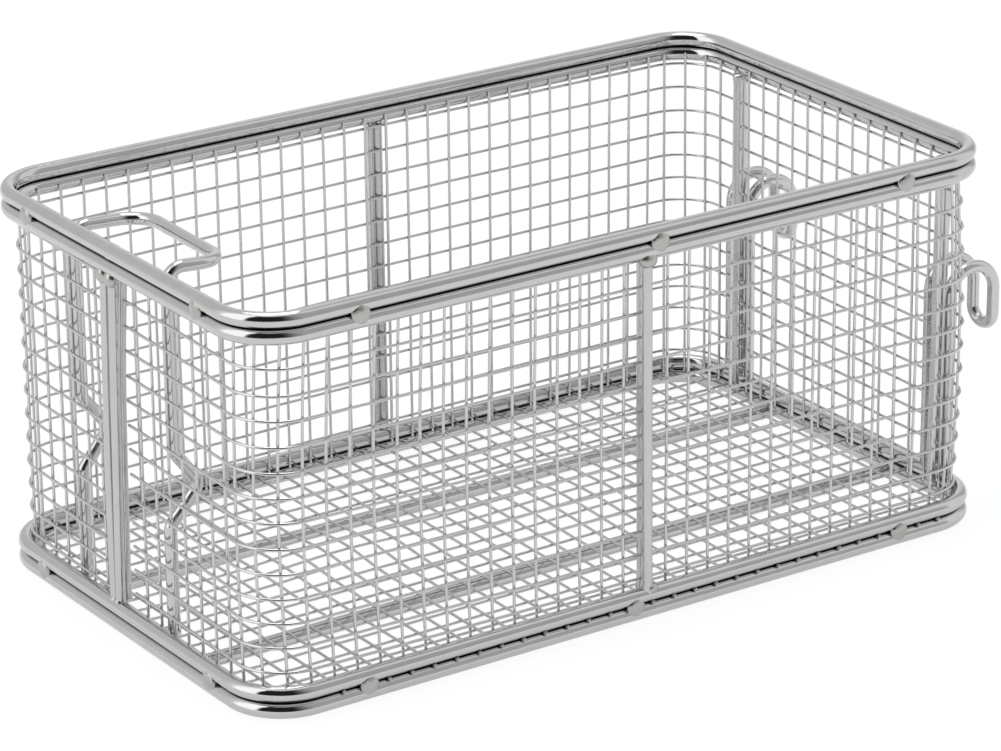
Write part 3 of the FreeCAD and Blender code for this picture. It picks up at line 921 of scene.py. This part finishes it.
# Studio: a white floor, and round the basket a pale tent with a bright panel on the left, a roof light,
# and the dark room behind the camera
studio = {"floorSize": 12.0, "floorColour": 0.86, "glowShare": 0.85, "glow": 1.08, "glossyShare": 0.6,
          "wall": 0.68, "sidePanel": 1.5, "bright": 0.88, "dark": 0.02, "roof": 1.0, "horizon": 0.50,
          "below": 0.70,
          "wallTurns": ((-180, "sidePanel"), (-171, "sidePanel"), (-163, "dark"), (-108, "dark"),
                        (-64, "horizon"), (-50, "horizon"), (-34, "bright"), (0, "bright"),
                        (16, "horizon"), (50, "bright"), (75, "wall"), (120, "wall"), (140, "bright"),
                        (154, "sidePanel"), (180, "sidePanel")),
          "wallPart": ((0.0, 0.0), (0.47, 0.0), (0.505, 1.0), (0.84, 1.0), (0.92, 0.0), (1.0, 0.0)),
          "otherParts": ((0.0, "below"), (0.5, "horizon"), (0.8, "roof"), (1.0, "roof"))}


def makeFloor():
    mesh = bpy.data.meshes.new("studioFloor")
    half = studio["floorSize"] / 2
    corners = [(-half, -half, 0), (half, -half, 0), (half, half, 0), (-half, half, 0)]
    mesh.from_pydata(corners, [], [(0, 1, 2, 3)])
    floor = bpy.data.objects.new("studioFloor", mesh)
    scene.collection.objects.link(floor)
    material = bpy.data.materials.new("paleFloor")
    material.use_nodes = True
    nodes, links = material.node_tree.nodes, material.node_tree.links
    nodes.clear()
    matt = nodes.new("ShaderNodeBsdfDiffuse")
    matt.inputs["Color"].default_value = (*[studio["floorColour"]] * 3, 1)
    glow = nodes.new("ShaderNodeEmission")
    ray = nodes.new("ShaderNodeLightPath")
    seen = nodes.new("ShaderNodeMath")
    seen.operation = "MULTIPLY_ADD"
    seen.inputs[1].default_value = studio["glossyShare"]
    links.new(ray.outputs["Is Glossy Ray"], seen.inputs[0])
    links.new(ray.outputs["Is Camera Ray"], seen.inputs[2])
    share = nodes.new("ShaderNodeMath")
    share.operation = "MULTIPLY"
    share.inputs[1].default_value = studio["glowShare"]
    links.new(seen.outputs["Value"], share.inputs[0])
    mix = nodes.new("ShaderNodeMixShader")
    out = nodes.new("ShaderNodeOutputMaterial")
    links.new(share.outputs["Value"], mix.inputs["Fac"])
    links.new(matt.outputs["BSDF"], mix.inputs[1])
    links.new(glow.outputs["Emission"], mix.inputs[2])
    links.new(mix.outputs["Shader"], out.inputs["Surface"])
    glow.inputs["Strength"].default_value = studio["glow"]
    mesh.materials.append(material)


def ramp(nodes, stops):
    made = nodes.new("ShaderNodeValToRGB")
    made.color_ramp.interpolation = "EASE"
    made.color_ramp.elements.remove(made.color_ramp.elements[1])
    for number, (at, level) in enumerate(stops):
        stop = made.color_ramp.elements[0] if number == 0 else made.color_ramp.elements.new(at)
        stop.position = at
        stop.color = (level, level, level, 1)
    return made


def mathNode(nodes, links, operation, *values):
    node = nodes.new("ShaderNodeMath")
    node.operation = operation
    for socket, value in zip(node.inputs, values):
        if isinstance(value, (int, float)):
            socket.default_value = value
        else:
            links.new(value, socket)
    return node.outputs["Value"]


def makeWorld():
    world = bpy.data.worlds.new("tent")
    scene.world = world
    world.use_nodes = True
    nodes, links = world.node_tree.nodes, world.node_tree.links
    nodes.clear()
    place = nodes.new("ShaderNodeTexCoord")
    split = nodes.new("ShaderNodeSeparateXYZ")
    links.new(place.outputs["Generated"], split.inputs["Vector"])
    turn = mathNode(nodes, links, "ARCTAN2", split.outputs["Y"], split.outputs["X"])
    turnShare = mathNode(nodes, links, "MULTIPLY_ADD", turn, 0.5 / math.pi, 0.5)
    rise = mathNode(nodes, links, "ARCSINE", split.outputs["Z"])
    riseShare = mathNode(nodes, links, "MULTIPLY_ADD", rise, 1 / math.pi, 0.5)
    walls = ramp(nodes, [((degrees + 180) / 360, studio[kind]) for degrees, kind in studio["wallTurns"]])
    links.new(turnShare, walls.inputs["Fac"])
    # by height, from 0 straight down to 1 straight up: the walls stand from the horizon to about
    # 61 degrees up and have faded into the roof by about 76
    wallPart = ramp(nodes, studio["wallPart"])
    others = ramp(nodes, [(share, studio[kind]) for share, kind in studio["otherParts"]])
    for made in (wallPart, others):
        links.new(riseShare, made.inputs["Fac"])
    level = nodes.new("ShaderNodeMix")
    level.data_type = "RGBA"
    links.new(wallPart.outputs["Color"], level.inputs["Factor"])
    links.new(others.outputs["Color"], level.inputs["A"])
    links.new(walls.outputs["Color"], level.inputs["B"])
    ray = nodes.new("ShaderNodeLightPath")
    white = nodes.new("ShaderNodeBackground")
    tent = nodes.new("ShaderNodeBackground")
    links.new(level.outputs["Result"], tent.inputs["Color"])
    mix = nodes.new("ShaderNodeMixShader")
    links.new(ray.outputs["Is Camera Ray"], mix.inputs["Fac"])
    links.new(tent.outputs["Background"], mix.inputs[1])
    links.new(white.outputs["Background"], mix.inputs[2])
    out = nodes.new("ShaderNodeOutputWorld")
    links.new(mix.outputs["Shader"], out.inputs["Surface"])


makeFloor()
makeWorld()

roofLight = {"place": (0.1, 0.35, 1.9), "aim": (0, 0, 0.1), "size": 0.9, "watts": 8.0}
light = bpy.data.lights.new("roofLight", "AREA")
light.size = roofLight["size"]
light.energy = roofLight["watts"]
lamp = bpy.data.objects.new("roofLight", light)
lamp.location = roofLight["place"]
towards = Vector(roofLight["aim"]) - Vector(roofLight["place"])
lamp.rotation_euler = towards.to_track_quat("-Z", "Y").to_euler()
scene.collection.objects.link(lamp)

# Camera, at the photograph's viewing angle
view = {"place": (-1180.7 * mm, -1775.1 * mm, 914.7 * mm), "azimuth": -33.70, "elevation": 21.21,
        "roll": -0.70, "focalPixels": 4557.0, "imageWidth": 1001, "sensor": 36.0, "clipEnd": 50}
camera = bpy.data.objects.new("camera", bpy.data.cameras.new("camera"))
camera.data.sensor_fit = "HORIZONTAL"
camera.data.sensor_width = view["sensor"]
camera.data.lens = view["focalPixels"] / view["imageWidth"] * view["sensor"]
camera.data.clip_end = view["clipEnd"]
turned = (Matrix.Rotation(math.radians(view["azimuth"]), 4, "Z")
          @ Matrix.Rotation(math.radians(90 - view["elevation"]), 4, "X")
          @ Matrix.Rotation(math.radians(view["roll"]), 4, "Z"))
camera.matrix_world = Matrix.Translation(Vector(view["place"]) + Vector((middleX, 0, 0))) @ turned
scene.collection.objects.link(camera)
scene.camera = camera
scene.view_settings.view_transform = "Standard"
print("studio and camera made")
